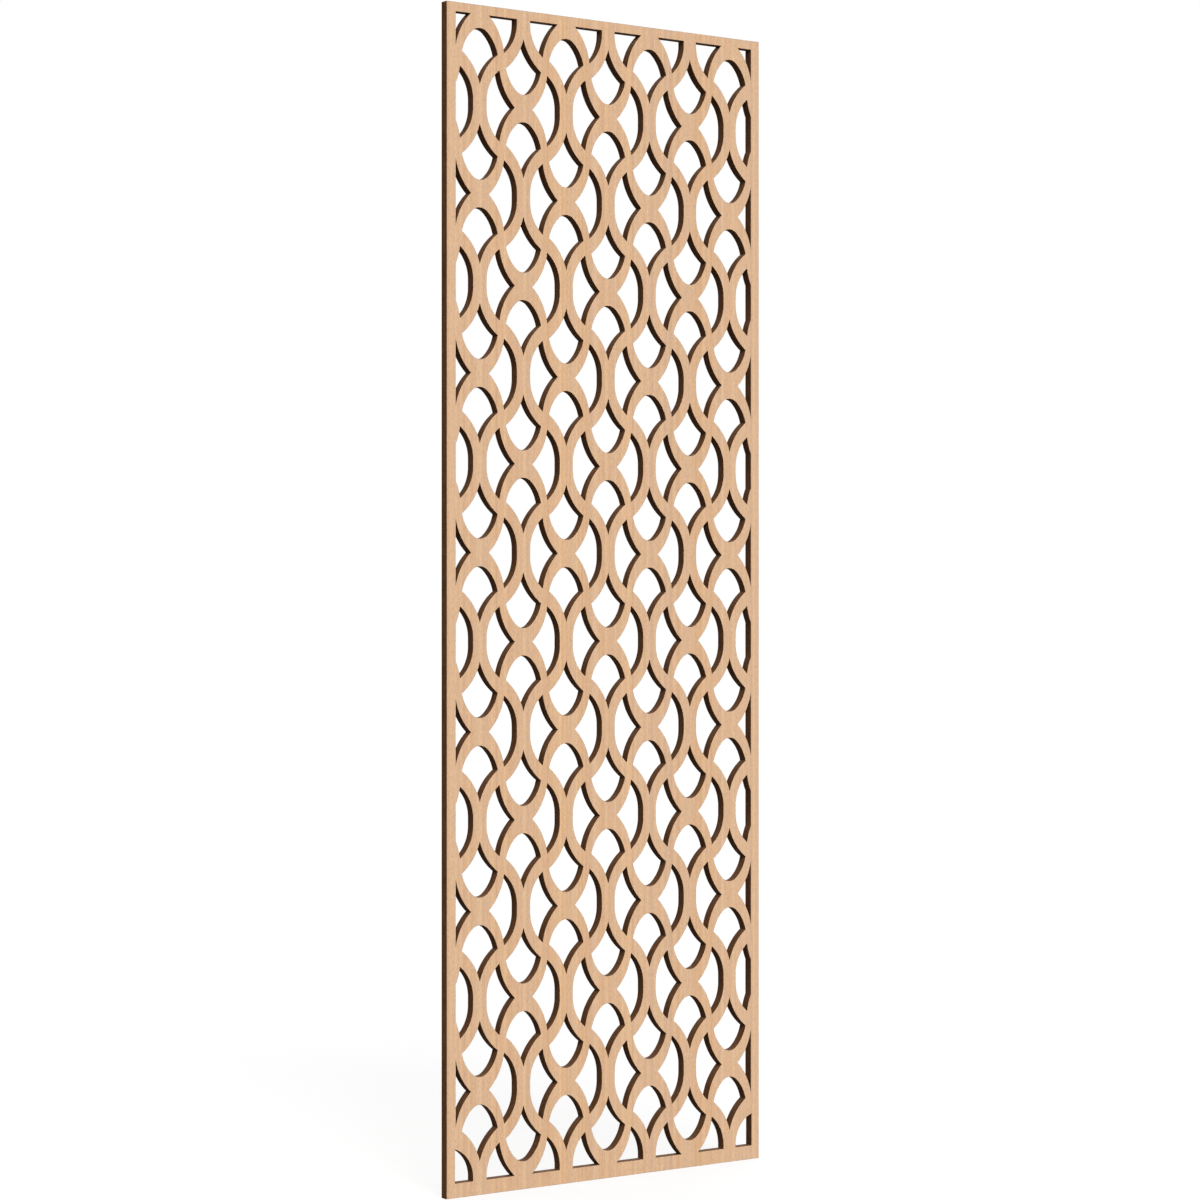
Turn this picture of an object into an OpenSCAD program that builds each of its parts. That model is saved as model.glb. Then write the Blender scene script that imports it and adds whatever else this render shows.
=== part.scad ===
// Fretwork wood panel: one sheet of thin plywood, cut right through with
// a pattern of crossing ogee strands inside a narrow plain rim.
// X runs along the width, Y from the front face to the back, Z up.
// The origin is the middle of the bottom edge. All sizes are millimetres.

/* [Panel] */
// Width over the side edges
panel_w = 390.5; // [250:0.5:900]
// Height from bottom edge to top edge
panel_h = 1181; // [400:1:2400]

/* [Plies] */
// Thickness of each face veneer, grain upright
veneer_t = 0.6; // [0.4:0.1:1.5]
// Thickness of each crossband, grain across
crossband_t = 2.5; // [1:0.1:6]
// Thickness of the middle ply, grain upright
core_t = 3.3; // [1:0.1:8]

/* [Rim] */
// Width of the plain rim down each side
rim_side = 10.7; // [4:0.1:60]
// Width of the plain rim along the top
rim_top = 9.35; // [4:0.05:60]
// Width of the plain rim along the bottom
rim_bottom = 14.6; // [4:0.1:60]
// How far the bottom rim covers the lowest row line
row_cover = 0.3; // [0.1:0.1:2]
// Height of the opening in each bottom corner
corner_h = 33.4; // [24:0.1:44]
// How far that opening reaches into the side rim
corner_out = 0.9; // [0:0.1:3]

/* [Lattice] */
// Distance between neighbouring column lines
col_pitch = 52.1; // [46:0.1:75]
// Distance between neighbouring row lines
row_pitch = 89.05; // [82:0.05:125]

/* [Strands] */
// Width of the web where two waves touch
neck_w = 21.3; // [12:0.1:26]
// Height of that web, from the crown below it to the crown above
knot_h = 27.7; // [22:0.1:34]
// Width of the band where two upright strands run together
band_w = 16.2; // [8:0.1:22]
// Length of that band's straight edge
band_flat = 8; // [4:0.1:16]
// Height from fork to fork along that band
fork_h = 39.8; // [30:0.1:50]
// Radius of the crown of each kite opening
crown_r = 13.1; // [9:0.1:15]
// Half angle of that crown
crown_angle = 42; // [30:1:46]
// Bow of a wave's outer edge between neck and notch
wave_bow = 3.4; // [1:0.1:5]
// Bow of an upright strand's outer edge between fork and notch
fork_bow = 3.1; // [1:0.1:5]
// Sideways offset of an eye's notch from the middle of a crossing
eye_notch_x = 2.8; // [1:0.1:5]
// Upright offset of an eye's notch from the middle of a crossing
eye_notch_z = 9.2; // [8:0.1:13]
// Sideways offset of a kite's notch from the middle of a crossing
kite_notch_x = 5.05; // [4:0.05:8]
// Upright offset of a kite's notch from the middle of a crossing
kite_notch_z = 6.1; // [4:0.05:8]

/* [Hidden] */
$fn = 96;

panel_t = 2 * veneer_t + 2 * crossband_t + core_t;
window_w = panel_w - 2 * rim_side;
window_h = panel_h - rim_top - rim_bottom;
base_row_z = rim_bottom - row_cover;
side_cols = ceil(window_w / 2 / col_pitch);
last_row = ceil((panel_h - rim_top - base_row_z) / row_pitch);

// The four corner points of the openings, seen from the middle of a knot
// (a lattice point where two waves touch), in one quarter of it.
neck = [neck_w / 2, 0];
crossing = [col_pitch, row_pitch] / 2;
eye_notch = crossing + [eye_notch_x, -eye_notch_z];
kite_notch = crossing - [kite_notch_x, kite_notch_z];
fork = [0, row_pitch - fork_h / 2];
crown_mid = [0, knot_h / 2 + crown_r];
crown_end = crown_mid + crown_r * [sin(crown_angle), -cos(crown_angle)];

// Middle and radius of the circle through p and q whose arc bows by rise;
// the middle lies to the left of the way from p to q.
function bowed(p, q, rise) =
    let (chord = q - p,
         span = norm(chord),
         r = (span * span / 4 + rise * rise) / (2 * rise))
    [(p + q) / 2 + [-chord.y, chord.x] / span * (r - rise), r];

// Middle and radius of the circle that leaves p with its middle in the
// direction of the unit vector inward, and passes through q.
function tangent_at(p, inward, q) =
    let (r = (q - p) * (q - p) / (2 * (inward * (q - p))))
    [p + r * inward, r];

wave_edge = bowed(neck, eye_notch, wave_bow);
fork_edge = bowed(fork, kite_notch, fork_bow);
band_edge_x = col_pitch - band_w / 2;
band_edge = tangent_at([band_edge_x, band_flat / 2], [-1, 0], eye_notch);
arch_edge = tangent_at(crown_end, (crown_mid - crown_end) / crown_r, kite_notch);

// Where the lowest opening beside a side rim ends on that rim, seen from the
// knot that the rim covers. That knot has no wave in this opening.
corner_x = window_w / 2 + corner_out;
corner_top = [side_cols * col_pitch - corner_x, rim_bottom + corner_h - base_row_z];
corner_edge = tangent_at([band_edge_x, band_flat / 2], [-1, 0], corner_top);
rim_covers_knot = side_cols % 2 == 0 && corner_top.x > kite_notch.x && corner_top.x < eye_notch.x;

module disc(edge) {
    translate(edge[0]) circle(edge[1]);
}

module both_ways(axis) {
    children();
    mirror(axis) children();
}

// The pointed opening beside a knot: waves on one side, upright band on the other
module eye() {
    difference() {
        union() {
            both_ways([0, 1]) disc(band_edge);
            translate([0, -band_flat / 2]) square([band_edge_x, band_flat]);
        }
        both_ways([0, 1]) disc(wave_edge);
    }
}

// The arched opening above a knot, which ends in the fork of two strands
module kite() {
    difference() {
        union() {
            disc([crown_mid, crown_r]);
            intersection() {
                disc(arch_edge);
                mirror([1, 0]) disc(arch_edge);
                translate([-col_pitch / 2, crown_end.y]) square([col_pitch, row_pitch]);
            }
        }
        both_ways([1, 0]) disc(fork_edge);
    }
}

// The same beside a knot under the rim's corner: one curve from band to rim
module corner_eye() {
    both_ways([0, 1]) disc(corner_edge);
    translate([0, -band_flat / 2]) square([band_edge_x, band_flat]);
}

module knot_openings(in_corner) {
    both_ways([1, 0]) {
        if (in_corner) corner_eye();
        else eye();
    }
    both_ways([0, 1]) kite();
}

module window() {
    translate([-window_w / 2, rim_bottom]) square([window_w, window_h]);
    if (rim_covers_knot) translate([-corner_x, rim_bottom]) square([2 * corner_x, corner_h]);
}

// The sheet as it is cut: a knot stands at every second lattice point
module fretwork() {
    difference() {
        translate([-panel_w / 2, 0]) square([panel_w, panel_h]);
        intersection() {
            window();
            for (col = [-side_cols:side_cols], row = [0:last_row])
                if ((col + row) % 2 == 0)
                    translate([col * col_pitch, base_row_z + row * row_pitch])
                        knot_openings(rim_covers_knot && row == 0 && abs(col) == side_cols);
        }
    }
}

// One ply, with its front face at depth y
module ply(y, t) {
    translate([0, y + t, 0]) rotate([90, 0, 0]) linear_extrude(t) fretwork();
}

front_y = -panel_t / 2;

module front_veneer() {
    color([0.85, 0.71, 0.57]) ply(front_y, veneer_t);
}

module front_crossband() {
    color([0.36, 0.23, 0.14]) ply(front_y + veneer_t, crossband_t);
}

module core_ply() {
    color([0.30, 0.19, 0.11]) ply(-core_t / 2, core_t);
}

module back_crossband() {
    color([0.36, 0.23, 0.14]) ply(core_t / 2, crossband_t);
}

module back_veneer() {
    color([0.83, 0.69, 0.55]) ply(core_t / 2 + crossband_t, veneer_t);
}

front_veneer();
front_crossband();
core_ply();
back_crossband();
back_veneer();
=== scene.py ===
import math

import bmesh
import bpy
from mathutils import Matrix, Vector


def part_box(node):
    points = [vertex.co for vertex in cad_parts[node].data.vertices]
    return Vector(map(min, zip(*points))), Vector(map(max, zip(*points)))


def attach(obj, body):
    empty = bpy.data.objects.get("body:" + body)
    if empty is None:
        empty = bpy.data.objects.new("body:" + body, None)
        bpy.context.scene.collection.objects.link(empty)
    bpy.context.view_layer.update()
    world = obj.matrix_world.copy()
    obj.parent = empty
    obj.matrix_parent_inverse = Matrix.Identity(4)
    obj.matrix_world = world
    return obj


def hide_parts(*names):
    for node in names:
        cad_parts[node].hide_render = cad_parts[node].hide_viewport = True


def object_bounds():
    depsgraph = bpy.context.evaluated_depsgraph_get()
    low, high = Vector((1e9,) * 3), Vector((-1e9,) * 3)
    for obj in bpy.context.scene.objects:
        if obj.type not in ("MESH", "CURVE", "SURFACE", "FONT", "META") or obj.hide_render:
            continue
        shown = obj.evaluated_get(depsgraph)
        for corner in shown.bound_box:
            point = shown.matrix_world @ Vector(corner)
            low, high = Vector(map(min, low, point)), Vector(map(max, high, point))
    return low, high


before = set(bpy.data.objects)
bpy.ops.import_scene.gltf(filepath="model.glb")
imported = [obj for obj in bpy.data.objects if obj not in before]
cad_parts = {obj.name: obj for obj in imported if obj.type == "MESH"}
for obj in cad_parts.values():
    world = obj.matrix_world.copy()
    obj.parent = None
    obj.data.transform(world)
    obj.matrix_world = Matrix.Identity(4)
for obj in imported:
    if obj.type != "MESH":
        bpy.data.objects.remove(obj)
cad_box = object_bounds()

# Core ply
# The middle sheet of the plywood, 3.3 mm thick, with its grain upright. A laser
# cuts the glued board, so all five plies have the same openings and charred edges.

panel_low, panel_high = cad_box
panel_w = panel_high[0] - panel_low[0]
panel_h = panel_high[2] - panel_low[2]

# The rim, and the opening that stands in each of its two bottom corners
rim_side = 0.0107
rim_top = 0.00935
rim_bottom = 0.0146
row_cover = 0.0003
corner_h = 0.0334
corner_out = 0.0009

# The lattice, and the strands between its openings
col_pitch = 0.0521
row_pitch = 0.08905
neck_w = 0.0213
knot_h = 0.0277
band_w = 0.0162
band_flat = 0.008
fork_h = 0.0398
crown_r = 0.0131
crown_angle = math.radians(42)
wave_bow = 0.0034
fork_bow = 0.0031
eye_notch_offset = (0.0028, -0.0092)
kite_notch_offset = (-0.00505, -0.0061)

# How the sheet is drawn
arc_step = 0.0017
under_rim = 1.06
weld = 1e-6
cut_weld = weld / 10
square_on = 0.99
sharp_angle = math.radians(35)
WOOD, OPENING = 0, 1
FACE_SLOT, EDGE_SLOT = 0, 1


def at(x, z):
    """A point, or a direction, on the sheet."""
    return Vector((x, 0, z))


def bowed(p, q, rise):
    """Middle of the circle through p and q whose arc bows by rise, on the left of the way."""
    chord = q - p
    radius = (chord.length_squared / 4 + rise * rise) / (2 * rise)
    return (p + q) / 2 + at(-chord.z, chord.x).normalized() * (radius - rise)


def tangent_at(p, inward, q):
    """Middle of the circle through p and q that lies from p along inward."""
    return p + inward * ((q - p).length_squared / (2 * inward.dot(q - p)))


def draw_arc(plan, start, middle, end):
    """Draws edges from the vertex start to the point end, and gives the last vertex."""
    a, b = start.co - middle, end - middle
    turn = math.atan2(a.z * b.x - a.x * b.z, a.dot(b))
    steps = max(2, round(abs(turn) * a.length / arc_step))
    drawn = bmesh.ops.spin(plan, geom=[start], cent=middle, axis=(0, 1, 0), angle=turn, steps=steps)
    return drawn["geom_last"][0]


def close_opening(plan, a, b):
    """Joins the arcs from a and b, fills between them and marks the tile's border."""
    plan.edges.new((a, b)).seam = True
    bmesh.ops.remove_doubles(plan, verts=plan.verts, dist=weld)
    arcs = [edge for edge in plan.edges if edge.is_wire]
    bmesh.ops.edgeloop_fill(plan, edges=arcs, mat_nr=OPENING)


def moved_copy(plan, geom):
    """The vertices of a copy, which is still to be moved."""
    copied = bmesh.ops.duplicate(plan, geom=geom)["geom"]
    return [item for item in copied if isinstance(item, bmesh.types.BMVert)]


def everything(plan):
    """All the vertices, edges and faces of the plan."""
    return plan.verts[:] + plan.edges[:] + plan.faces[:]


def knot_tile(plan):
    """One tile of the lattice, with a knot of two waves at two opposite corners."""
    middle = at(col_pitch, row_pitch) / 2
    neck = at(neck_w / 2, 0)
    eye_notch = middle + at(*eye_notch_offset)
    band_foot = at(col_pitch - band_w / 2, 0)
    band_top = band_foot + at(0, band_flat / 2)
    start = plan.verts.new(neck)
    draw_arc(plan, start, bowed(neck, eye_notch, wave_bow), eye_notch)
    foot = plan.verts.new(band_foot)
    top = plan.verts.new(band_top)
    plan.edges.new((foot, top))
    draw_arc(plan, top, tangent_at(band_top, at(-1, 0), eye_notch), eye_notch)
    close_opening(plan, start, foot)

    kite_notch = middle + at(*kite_notch_offset)
    crown = at(0, knot_h / 2)
    crown_mid = crown + at(0, crown_r)
    crown_end = crown_mid + crown_r * at(math.sin(crown_angle), -math.cos(crown_angle))
    fork = at(0, row_pitch - fork_h / 2)
    start = plan.verts.new(crown)
    shoulder = draw_arc(plan, start, crown_mid, crown_end)
    inward = (crown_mid - crown_end).normalized()
    draw_arc(plan, shoulder, tangent_at(crown_end, inward, kite_notch), kite_notch)
    tip = plan.verts.new(fork)
    draw_arc(plan, tip, bowed(fork, kite_notch, fork_bow), kite_notch)
    close_opening(plan, start, tip)

    turned = moved_copy(plan, everything(plan))
    half_turn = Matrix.Rotation(math.pi, 3, "Y")
    bmesh.ops.rotate(plan, verts=turned, cent=middle, matrix=half_turn)
    far = 2 * middle
    corners = [at(0, 0), at(col_pitch, 0), far, at(0, row_pitch)]
    sides = [(neck, band_foot), (far - fork, far - crown), (far - neck, far - band_foot), (fork, crown)]
    ends = [plan.verts.new(corner) for corner in corners]
    for side, (first, last) in enumerate(sides):
        for place, end in ((first, ends[side]), (last, ends[(side + 1) % 4])):
            nearest = min(plan.verts, key=lambda vert: (vert.co - place).length_squared)
            plan.edges.new((nearest, end))
    strands = [edge for edge in plan.edges if not edge.seam]
    bmesh.ops.edgeloop_fill(plan, edges=strands, mat_nr=WOOD)


def clear_corner(plan, knot):
    """Gives the opening beside a knot under the rim one curve from its band to the rim.

    The curve runs on a little under the rim, and the knot's wave moves there with it."""
    side = math.copysign(1, knot.x)
    near = knot + at(-side * col_pitch / 2, row_pitch / 4)
    openings = [face for face in plan.faces if face.material_index == OPENING]
    opening = min(openings, key=lambda face: (face.calc_center_bounds() - near).length)

    level = at(1, 0)
    neck_x = neck_w / 2
    eye_notch = at(col_pitch, row_pitch) / 2 + at(*eye_notch_offset)
    band_top = at(col_pitch - band_w / 2, band_flat / 2)
    corner_x = panel_w / 2 - rim_side + corner_out
    corner_top = at(abs(knot.x) - corner_x, rim_bottom + corner_h - knot.z)
    old_mid = tangent_at(band_top, -level, eye_notch)
    new_mid = tangent_at(band_top, -level, corner_top)
    radius = (band_top - new_mid).length
    spread = under_rim * level.angle(corner_top - new_mid) / level.angle(eye_notch - old_mid)

    def on_curve(place):
        turn = spread * level.angle(place - old_mid)
        return new_mid + radius * at(math.cos(turn), math.sin(turn))

    tip = on_curve(eye_notch)
    for vert in opening.verts:
        place = at((knot.x - vert.co.x) * side, vert.co.z - knot.z)
        if place.x < eye_notch.x - weld:
            share = (place.x - neck_x) / (eye_notch.x - neck_x)
            place = at(neck_x + share * (tip.x - neck_x), place.z * tip.z / eye_notch.z)
        elif place.z > band_top.z:
            place = on_curve(place)
        vert.co = knot + at(-side * place.x, place.z)


def sheet_plan():
    """The whole sheet as flat faces on y = 0, with its openings cut inside the rim."""
    plan = bmesh.new()
    knot_tile(plan)
    for axis in "XZ":
        bmesh.ops.mirror(plan, geom=everything(plan), axis=axis, merge_dist=weld)
    unit = everything(plan)
    half_w = panel_w / 2
    base_row = rim_bottom - row_cover
    across = math.ceil((half_w / col_pitch - 1) / 2)
    upward = math.ceil(((panel_h - base_row) / row_pitch - 1) / 2)
    for i in range(-across, across + 1):
        for j in range(upward + 1):
            place = at(2 * i * col_pitch, base_row + 2 * j * row_pitch)
            bmesh.ops.translate(plan, verts=moved_copy(plan, unit), vec=place)
    bmesh.ops.delete(plan, geom=unit, context="VERTS")
    bmesh.ops.remove_doubles(plan, verts=plan.verts, dist=weld)
    for side in (-1, 1):
        clear_corner(plan, at(side * 2 * across * col_pitch, base_row))

    left, right = rim_side - half_w, half_w - rim_side
    foot, head = rim_bottom, panel_h - rim_top
    outward = (at(-1, 0), at(1, 0), at(0, -1), at(0, 1))
    rim_lines = (at(left, 0), at(right, 0), at(0, foot), at(0, head))
    outline = (at(-half_w, 0), at(half_w, 0), at(0, 0), at(0, panel_h))
    for points, clear in ((rim_lines, False), (outline, True)):
        for point, normal in zip(points, outward):
            bmesh.ops.bisect_plane(
                plan, geom=everything(plan), dist=cut_weld,
                plane_co=point, plane_no=normal, clear_outer=clear,
            )

    # The rim lines part the sheet into three by three zones, with the window in the middle
    zones = {}
    for face in plan.faces:
        spot = face.calc_center_bounds()
        zone = (spot.x > left) + (spot.x > right), (spot.z > foot) + (spot.z > head)
        zones.setdefault(zone, []).append(face)
    window = zones.pop((1, 1))
    openings = [face for face in window if face.material_index == OPENING]
    bmesh.ops.delete(plan, geom=openings, context="FACES")
    for rim_part in zones.values():
        bmesh.ops.dissolve_faces(plan, faces=rim_part, use_verts=True)

    # The openings in the bottom corners reach into the side rims
    for vert in plan.verts:
        on_rim_line = abs(abs(vert.co.x) - right) < weld
        if on_rim_line and foot - weld < vert.co.z < foot + corner_h:
            vert.co.x += math.copysign(corner_out, vert.co.x)
            if vert.co.z > foot + weld:
                vert.co.z = foot + corner_h
    return plan


flat_sheet = sheet_plan()


def cut_ply(name, node, face_finish, edge_finish, arris=None):
    """A ply between its node's two faces; arris = (which face, size) breaks that face's edges."""
    low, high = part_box(node)
    ply = flat_sheet.copy()
    bmesh.ops.translate(ply, verts=ply.verts, vec=(0, low[1], 0))
    grown = bmesh.ops.extrude_face_region(ply, geom=ply.faces[:])["geom"]
    risen = [item for item in grown if isinstance(item, bmesh.types.BMVert)]
    bmesh.ops.translate(ply, verts=risen, vec=(0, high[1] - low[1], 0))
    bmesh.ops.recalc_face_normals(ply, faces=ply.faces)
    if arris:
        facing, size = arris
        outer = [
            edge for edge in ply.edges
            if sorted(round(face.normal.y) for face in edge.link_faces) == sorted((0, facing))
        ]
        bmesh.ops.bevel(
            ply, geom=outer, offset=size, offset_type="OFFSET", segments=2, profile=0.5,
            affect="EDGES", material=-1, clamp_overlap=True,
        )
    for face in ply.faces:
        on_face = abs(face.normal.y) > square_on
        face.smooth = not on_face
        face.material_index = FACE_SLOT if on_face else EDGE_SLOT
    for edge in ply.edges:
        runs_along = abs(edge.verts[0].co.y - edge.verts[1].co.y) < weld
        meets_face = any(not face.smooth for face in edge.link_faces)
        turns_sharply = edge.calc_face_angle(0) > sharp_angle
        edge.smooth = not (meets_face or (turns_sharply and not runs_along))
    mesh = bpy.data.meshes.new(name)
    ply.to_mesh(mesh)
    ply.free()
    mesh.materials.append(face_finish)
    mesh.materials.append(edge_finish)
    piece = bpy.data.objects.new(name, mesh)
    bpy.context.collection.objects.link(piece)
    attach(piece, "root")
    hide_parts(node)
    return piece


def new_node(tree, kind, values=None, **settings):
    """A shader node, with its settings, and its sockets set to values or linked to sockets."""
    made = tree.nodes.new("ShaderNode" + kind)
    for name, value in settings.items():
        setattr(made, name, value)
    for name, value in (values or {}).items():
        if isinstance(value, bpy.types.NodeSocket):
            tree.links.new(value, made.inputs[name])
        else:
            made.inputs[name].default_value = value
    return made


def new_finish(name, gloss):
    """A finish with its tree, its shader and the place on the piece."""
    finish = bpy.data.materials.new(name)
    finish.use_nodes = True
    tree = finish.node_tree
    shader = tree.nodes["Principled BSDF"]
    shader.inputs["Specular IOR Level"].default_value = gloss
    return finish, tree, shader, new_node(tree, "TexCoord").outputs["Object"]


# Ranges of a value: all of it, and the parts of a noise that soft spots are taken from
FULL = (0, 1)
SOFT, WIDE = (0.3, 0.7), (0.25, 0.75)


def figure(tree, place, size, seed, spread=SOFT, detail=2.0):
    """Soft spots of the given size in metres along x, y and z, from 0 to 1."""
    placed = new_node(tree, "Mapping", {
        "Vector": place,
        "Location": (seed, seed * 1.7, seed * 2.3),
        "Scale": tuple(1 / length for length in size),
    }).outputs["Vector"]
    spots = new_node(tree, "TexNoise", {"Vector": placed, "Scale": 1.0, "Detail": detail})
    return scaled(tree, spots.outputs["Fac"], spread, FULL)


def scaled(tree, value, source, target):
    """The value, carried over from the range source to the range target."""
    fitted = new_node(tree, "MapRange", {
        "Value": value,
        "From Min": source[0],
        "From Max": source[1],
        "To Min": target[0],
        "To Max": target[1],
    })
    return fitted.outputs["Result"]


def joined(tree, operation, *values):
    """The values taken together, two at a time, by one arithmetic operation."""
    total = values[0]
    for value in values[1:]:
        total = new_node(tree, "Math", {0: total, 1: value}, operation=operation).outputs["Value"]
    return total


def tinted(tree, factor, low, high, blend="MIX"):
    """Colour that goes from low to high with factor."""
    mixed = new_node(tree, "Mix", data_type="RGBA", blend_type=blend)
    # The colour sockets share their names with others, so they are picked by number
    for socket, value in zip((mixed.inputs[0], mixed.inputs[6], mixed.inputs[7]), (factor, low, high)):
        if isinstance(value, bpy.types.NodeSocket):
            tree.links.new(value, socket)
        else:
            socket.default_value = value if isinstance(value, float) else (*value, 1)
    return mixed.outputs[2]


def bumped(tree, shader, height, depth):
    """Gives the shader a relief of the given depth in metres."""
    relief = new_node(tree, "Bump", {"Height": height, "Distance": depth, "Strength": 1.0})
    tree.links.new(relief.outputs["Normal"], shader.inputs["Normal"])


def painted(tree, shader, colour, tone):
    """Gives the shader the colour, made lighter or darker by tone."""
    shade = new_node(tree, "VectorMath", {0: colour, "Scale": tone}, operation="SCALE")
    tree.links.new(shade.outputs["Vector"], shader.inputs["Base Color"])


UPRIGHT, ACROSS = "upright", "across"


def laid(grain, end, run):
    """Size of a fibre that runs along the grain."""
    return (end, end, run) if grain == UPRIGHT else (run, end, end)


char_dark = (0.064, 0.0270, 0.0102)
char_light = (0.150, 0.0680, 0.0290)
soot_size = (0.011, 0.02, 0.011)
soot_share = (0.25, 0.75)
drag_size = (0.0007, 0.03, 0.0007)
drag_tone = (0.82, 1.18)
burnt_fibre = (0.0005, 0.018)
burnt_fibre_tone = (0.84, 1.16)
char_gloss = 0.05
char_roughness = (0.92, 0.74)
char_relief = 0.00006
glue_line = 0.00012
glue_tone = 0.55
# The edge darkens from the front of the sheet to its back
front_to_back_tone = (1.12, 0.88)
# Painted light: the sheet's outer edges are made up to a quarter paler than the shaded walls inside the
# openings
outer_skin = 0.0004
outer_reach = (0, 2)
outer_painted_light_tone = (1, 1.25)


def charred_edge(name, node_name, grain, seed):
    """Wood burnt by the cut: soot, the beam's drag lines, the fibres' ends and a glue line.

    Darker towards the back; the outer edges get painted light, paler than the openings' shaded walls."""
    finish, tree, shader, place = new_finish(name, char_gloss)
    low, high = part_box(node_name)
    depth = new_node(tree, "SeparateXYZ", {"Vector": place}).outputs["Y"]
    centred = new_node(tree, "Mapping", {"Vector": place, "Location": (0, 0, -panel_h / 2)})
    from_middle = new_node(tree, "VectorMath", {0: centred.outputs["Vector"]}, operation="ABSOLUTE")
    reach = new_node(tree, "SeparateXYZ", {"Vector": from_middle.outputs["Vector"]}).outputs
    soot = figure(tree, place, soot_size, seed)
    drag = figure(tree, place, drag_size, seed + 3, WIDE, detail=1.0)
    fibre = figure(tree, place, laid(grain, *burnt_fibre), seed + 7)
    colour = tinted(tree, scaled(tree, soot, FULL, soot_share), char_dark, char_light)
    # Painted light that makes the sheet's outer edges paler than the shaded walls of the openings
    outer_painted_light_share = joined(
        tree, "MAXIMUM",
        scaled(tree, reach["X"], (panel_w / 2 - outer_skin, panel_w / 2), outer_reach),
        scaled(tree, reach["Z"], (panel_h / 2 - outer_skin, panel_h / 2), outer_reach),
    )
    tone = joined(
        tree, "MULTIPLY",
        scaled(tree, drag, FULL, drag_tone),
        scaled(tree, fibre, FULL, burnt_fibre_tone),
        scaled(tree, depth, (low[1], low[1] + glue_line), (glue_tone, 1)),
        scaled(tree, depth, (high[1] - glue_line, high[1]), (1, glue_tone)),
        scaled(tree, depth, (panel_low[1], panel_high[1]), front_to_back_tone),
        scaled(tree, outer_painted_light_share, FULL, outer_painted_light_tone),
    )
    painted(tree, shader, colour, tone)
    tree.links.new(scaled(tree, fibre, FULL, char_roughness), shader.inputs["Roughness"])
    bumped(tree, shader, joined(tree, "ADD", drag, fibre), char_relief)
    return finish


peeled_dark = (0.40, 0.27, 0.16)
peeled_light = (0.55, 0.40, 0.25)
peeled_fibre = (0.0008, 0.06)
peeled_gloss = 0.3
peeled_roughness = (0.75, 0.9)
peeled_relief = 0.0001
glue_brown = (0.42, 0.30, 0.20)
glue_patch = (0.03, 0.12)
glue_share = (0, 0.4)


def glued_face(name, grain, seed):
    """The rough peeled face inside the board, with glue soaked into its grain."""
    finish, tree, shader, place = new_finish(name, peeled_gloss)
    fibre = figure(tree, place, laid(grain, *peeled_fibre), seed)
    patch = figure(tree, place, laid(grain, *glue_patch), seed + 5)
    colour = tinted(tree, fibre, peeled_dark, peeled_light)
    colour = tinted(tree, scaled(tree, patch, FULL, glue_share), colour, glue_brown)
    tree.links.new(colour, shader.inputs["Base Color"])
    tree.links.new(scaled(tree, fibre, FULL, peeled_roughness), shader.inputs["Roughness"])
    bumped(tree, shader, fibre, peeled_relief)
    return finish


core = cut_ply(
    "core_sheet", "core_ply", glued_face("core_face", UPRIGHT, 1),
    charred_edge("core_charred_edge", "core_ply", UPRIGHT, 2),
)

# Crossbands
# Two sheets 2.5 mm thick, glued either side of the core with their grain
# across the panel. They stop the board from warping.

for seed, side in enumerate(("front", "back"), 11):
    node_name = f"{side}_crossband"
    band = cut_ply(
        f"{side}_crossband_sheet", node_name, glued_face(f"{side}_crossband_face", ACROSS, seed),
        charred_edge(f"{side}_crossband_charred_edge", node_name, ACROSS, seed + 4),
    )

# Face veneers
# Two thin sheets of pale straight-grained veneer, one on each face, with the
# grain upright. They are sanded and left matt, and the cut breaks their edges.

arris_size = 0.00022
veneer_honey = (0.734, 0.454, 0.250)
veneer_rose = (0.682, 0.454, 0.297)
pore_brown = (0.42, 0.24, 0.13)
line_dark = (0.885, 0.850, 0.855)
line_pale = (1.115, 1.150, 1.145)
band_size = (0.0095, 1, 30)
band_share = (0.15, 0.85)
line_size = (0.0048, 1, 30)
fibre_size = (0.0005, 1, 0.05)
fibre_tone = (0.955, 1.045)
pore_size = (0.00032, 1, 0.0045)
pore_spread = (0.60, 0.72)
pore_share = (0, 0.4)
fleck_size = (0.0014, 1, 0.0032)
fleck_tone = (0.92, 1.08)
warmth_share = (-0.5, 0.5)
veneer_gloss = 0.3
veneer_roughness = (0.66, 0.54)
veneer_relief = 0.00004


def sanded_veneer(name, seed):
    """Sanded veneer: bands and lines up the whole sheet, then fibres, open pores and flecks."""
    finish, tree, shader, place = new_finish(name, veneer_gloss)
    band = figure(tree, place, band_size, seed + 1)
    line = figure(tree, place, line_size, seed + 2, WIDE)
    fibre = figure(tree, place, fibre_size, seed + 3)
    pore = figure(tree, place, pore_size, seed + 4, pore_spread, detail=1.0)
    fleck = figure(tree, place, fleck_size, seed + 5, WIDE, detail=1.0)
    warmth = figure(tree, place, fleck_size, seed + 6, WIDE, detail=1.0)
    hue = joined(
        tree, "ADD", scaled(tree, band, FULL, band_share), scaled(tree, warmth, FULL, warmth_share),
    )
    colour = tinted(tree, hue, veneer_honey, veneer_rose)
    colour = tinted(tree, scaled(tree, pore, FULL, pore_share), colour, pore_brown)
    colour = tinted(tree, 1.0, colour, tinted(tree, line, line_dark, line_pale), "MULTIPLY")
    tone = joined(
        tree, "MULTIPLY", scaled(tree, fibre, FULL, fibre_tone), scaled(tree, fleck, FULL, fleck_tone),
    )
    painted(tree, shader, colour, tone)
    tree.links.new(scaled(tree, fibre, FULL, veneer_roughness), shader.inputs["Roughness"])
    bumped(tree, shader, joined(tree, "SUBTRACT", fibre, pore), veneer_relief)
    return finish


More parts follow.
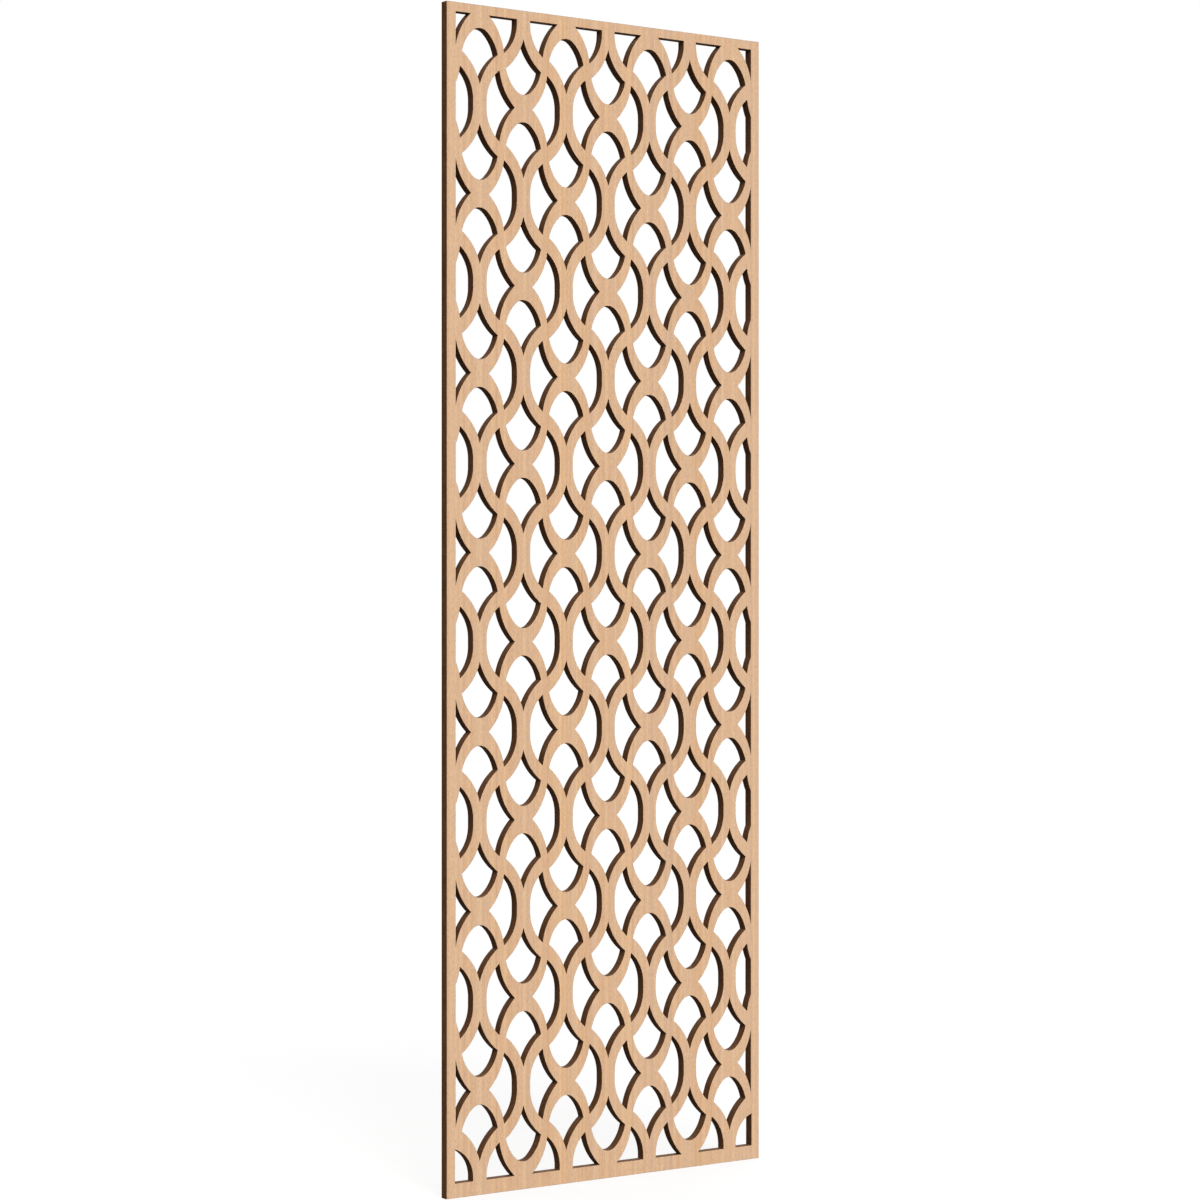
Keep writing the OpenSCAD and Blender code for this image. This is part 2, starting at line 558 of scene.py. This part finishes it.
for seed, side, facing in ((21, "front", -1), (31, "back", 1)):
    node_name = f"{side}_veneer"
    skin = cut_ply(
        f"{side}_veneer_sheet", node_name, sanded_veneer(f"{side}_veneer_face", seed),
        charred_edge(f"{side}_veneer_charred_edge", node_name, UPRIGHT, seed + 7), (facing, arris_size),
    )
flat_sheet.free()

# Floor
# A plain pale floor that the panel stands on. The camera sees it white, apart
# from the panel's soft shadow.

floor_width = 60
floor_paint = (0.15, 0.15, 0.15, 1)
floor_seen = (0.2, 0.2, 0.2, 1)
floor_glow = 0.77


def seen_directly(tree):
    """1 for what the camera, a gloss or a glass shows, and 0 for what lights the panel."""
    ray = new_node(tree, "LightPath").outputs
    return joined(tree, "MAXIMUM", ray["Is Camera Ray"], ray["Is Glossy Ray"], ray["Is Transmission Ray"])


bpy.ops.mesh.primitive_plane_add(size=floor_width, location=(0, 0, 0))
floor = bpy.context.object
floor.name = "floor"
floor_finish = bpy.data.materials.new("pale_floor")
floor_finish.use_nodes = True
floor_tree = floor_finish.node_tree
floor_tree.nodes.clear()
matt = new_node(floor_tree, "BsdfDiffuse", {"Color": floor_paint}).outputs["BSDF"]
seen = new_node(floor_tree, "BsdfDiffuse", {"Color": floor_seen}).outputs["BSDF"]
glow = new_node(floor_tree, "Emission", {"Strength": floor_glow}).outputs["Emission"]
white = new_node(floor_tree, "AddShader", {0: seen, 1: glow}).outputs["Shader"]
surface = new_node(floor_tree, "MixShader", {0: seen_directly(floor_tree), 1: matt, 2: white})
new_node(floor_tree, "OutputMaterial", {"Surface": surface.outputs["Shader"]})
floor.data.materials.append(floor_finish)

# Lamps
# A soft key light high on the left, a weaker one from behind on the right,
# and a white room. Room and key together show the front at about full level.

room_colour = (1, 1, 1, 1)
room_level = 0.25
backdrop_level = 1.0
lamp_distance = 3
key_level, key_from, key_angle = 1.075, (-0.22, -0.74, 0.64), math.radians(35)
fill_level, fill_from, fill_angle = 0.85, (0.55, 0.70, 0.45), math.radians(60)

world = bpy.data.worlds.new("room")
bpy.context.scene.world = world
world.use_nodes = True
room_tree = world.node_tree
room_tree.nodes.clear()
lit, shown = (
    new_node(room_tree, "Background", {"Color": room_colour, "Strength": level}).outputs["Background"]
    for level in (room_level, backdrop_level)
)
around = new_node(room_tree, "MixShader", {0: seen_directly(room_tree), 1: lit, 2: shown})
new_node(room_tree, "OutputWorld", {"Surface": around.outputs["Shader"]})

for name, level, source, angle in (
    ("key", key_level, key_from, key_angle), ("fill", fill_level, fill_from, fill_angle),
):
    light = bpy.data.lights.new(name, "SUN")
    light.energy = level * math.pi
    light.angle = angle
    lamp = bpy.data.objects.new(name, light)
    lamp.location = Vector(source) * lamp_distance
    lamp.rotation_euler = Vector(source).to_track_quat("Z", "Y").to_euler()
    bpy.context.collection.objects.link(lamp)

# Camera
# Level with the middle of the panel and to its left, as in the photograph.

frame_px = 1200
focal_px = 3074.5
sensor_mm = 36
farthest = 100
camera_place = (-1.8179, -2.5666, 0.5905)
camera_turn = math.radians(35.205)

camera_data = bpy.data.cameras.new("camera")
camera_data.sensor_width = sensor_mm
camera_data.lens = sensor_mm * focal_px / frame_px
camera_data.clip_end = farthest
camera = bpy.data.objects.new("camera", camera_data)
camera.location = camera_place
camera.rotation_euler = (math.pi / 2, 0, -camera_turn)
bpy.context.collection.objects.link(camera)
bpy.context.scene.camera = camera
bpy.context.scene.view_settings.view_transform = "Standard"
